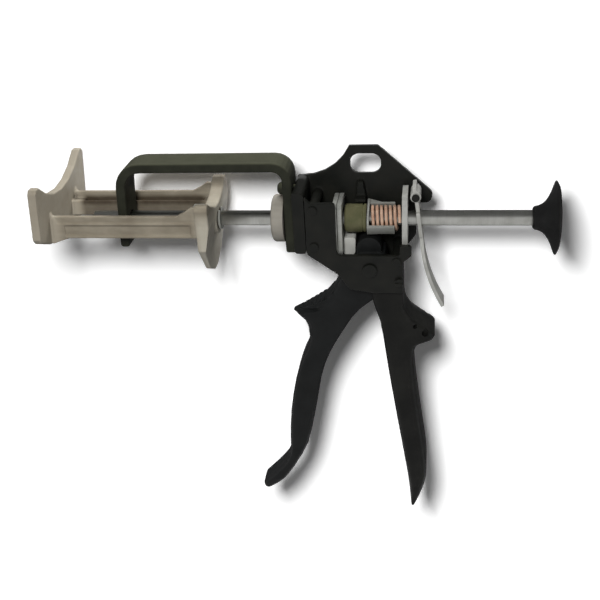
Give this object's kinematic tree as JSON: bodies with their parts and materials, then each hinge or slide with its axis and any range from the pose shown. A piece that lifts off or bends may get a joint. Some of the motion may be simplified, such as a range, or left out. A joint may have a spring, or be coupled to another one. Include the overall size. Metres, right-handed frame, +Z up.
{
  "type": "caulking gun",
  "caption": "Friction-drive caulking gun with an open-sided cast body, long push rod, twin-rail cradle carriage under a bail, trigger, rear grip and thumb release.",
  "frame": {"origin": "centre of the hanging slot, midway through the tall wall's thickness", "axes": "+X from the muzzle to the palm knob along the rod, +Y from the open side to the tall wall, +Z up towards the lug"},
  "size_m": [0.2682, 0.069, 0.2204],
  "materials": {
    "black_casting": "black satin coating on a casting",
    "black_paint": "semi-gloss black paint",
    "black_plastic": "fine satin",
    "beige_plastic": "moulded, matt",
    "rod_steel": "ground bright",
    "zinc_steel": "zinc plated",
    "spring_wire": "copper-toned spring wire",
    "bush_brass": "dull yellow plated"
  },
  "bodies": {
    "gun_frame": {"frame": "black_casting", "side_cheek": "black_casting", "cheek_rivet_1": "black_casting", "cheek_rivet_2": "black_casting", "cheek_rivet_3": "black_casting", "bail": "black_paint", "bail_bolt": "black_paint", "guide_collar": "beige_plastic", "return_spring": "spring_wire", "guide_bush": "bush_brass", "spring_bracket": "zinc_steel", "brake_spring": "spring_wire", "lever_pin": "zinc_steel", "trigger_pin": "black_paint", "trigger_pin_clip": "zinc_steel", "rear_grip": "black_plastic", "grip_screw": "black_paint", "grip_nut": "zinc_steel"},
    "ram": {"push_rod": "rod_steel", "carriage": "beige_plastic", "yoke_nut": "zinc_steel", "yoke_ring": "zinc_steel", "knob": "black_plastic", "knob_screw": "zinc_steel"},
    "drive": {"drive_plate_front": "zinc_steel", "drive_plate_rear": "zinc_steel", "thrust_shoe": "zinc_steel"},
    "trigger_arm": {"trigger": "black_casting"},
    "brake": {"brake_plate": "zinc_steel"},
    "lever": {"release_lever": "zinc_steel"}
  },
  "joints": [
    {"name": "trigger_hinge", "type": "hinge", "parent": "gun_frame", "child": "trigger_arm", "pos_m": [0.003, -0.013, -0.0492], "axis": [0, -1, 0], "range_deg": [0, 24], "stiffness_Nm_per_rad": 1.5, "springref_deg": -17.19},
    {"name": "drive_slide", "type": "slide", "parent": "gun_frame", "child": "drive", "axis": [-1, 0, 0], "range_m": [0, 0.0036], "deforming": ["return_spring"]},
    {"name": "ram_slide", "type": "slide", "parent": "gun_frame", "child": "ram", "axis": [-1, 0, 0], "range_m": [-0.018, 0.031]},
    {"name": "lever_hinge", "type": "hinge", "parent": "gun_frame", "child": "lever", "pos_m": [0.0264, -0.013, -0.0121], "axis": [0, 1, 0], "range_deg": [0, 15], "stiffness_Nm_per_rad": 0.08, "springref_deg": -14.32},
    {"name": "brake_hinge", "type": "hinge", "parent": "gun_frame", "child": "brake", "pos_m": [0.0224, -0.013, -0.0112], "axis": [0, 1, 0], "range_deg": [0, 1.5], "deforming": ["brake_spring"]}
  ],
  "couplings": [
    {"joint": "drive_slide", "follows": "trigger_hinge", "m_per_rad": 0.00858},
    {"joint": "brake_hinge", "follows": "lever_hinge", "ratio": 0.1}
  ]
}
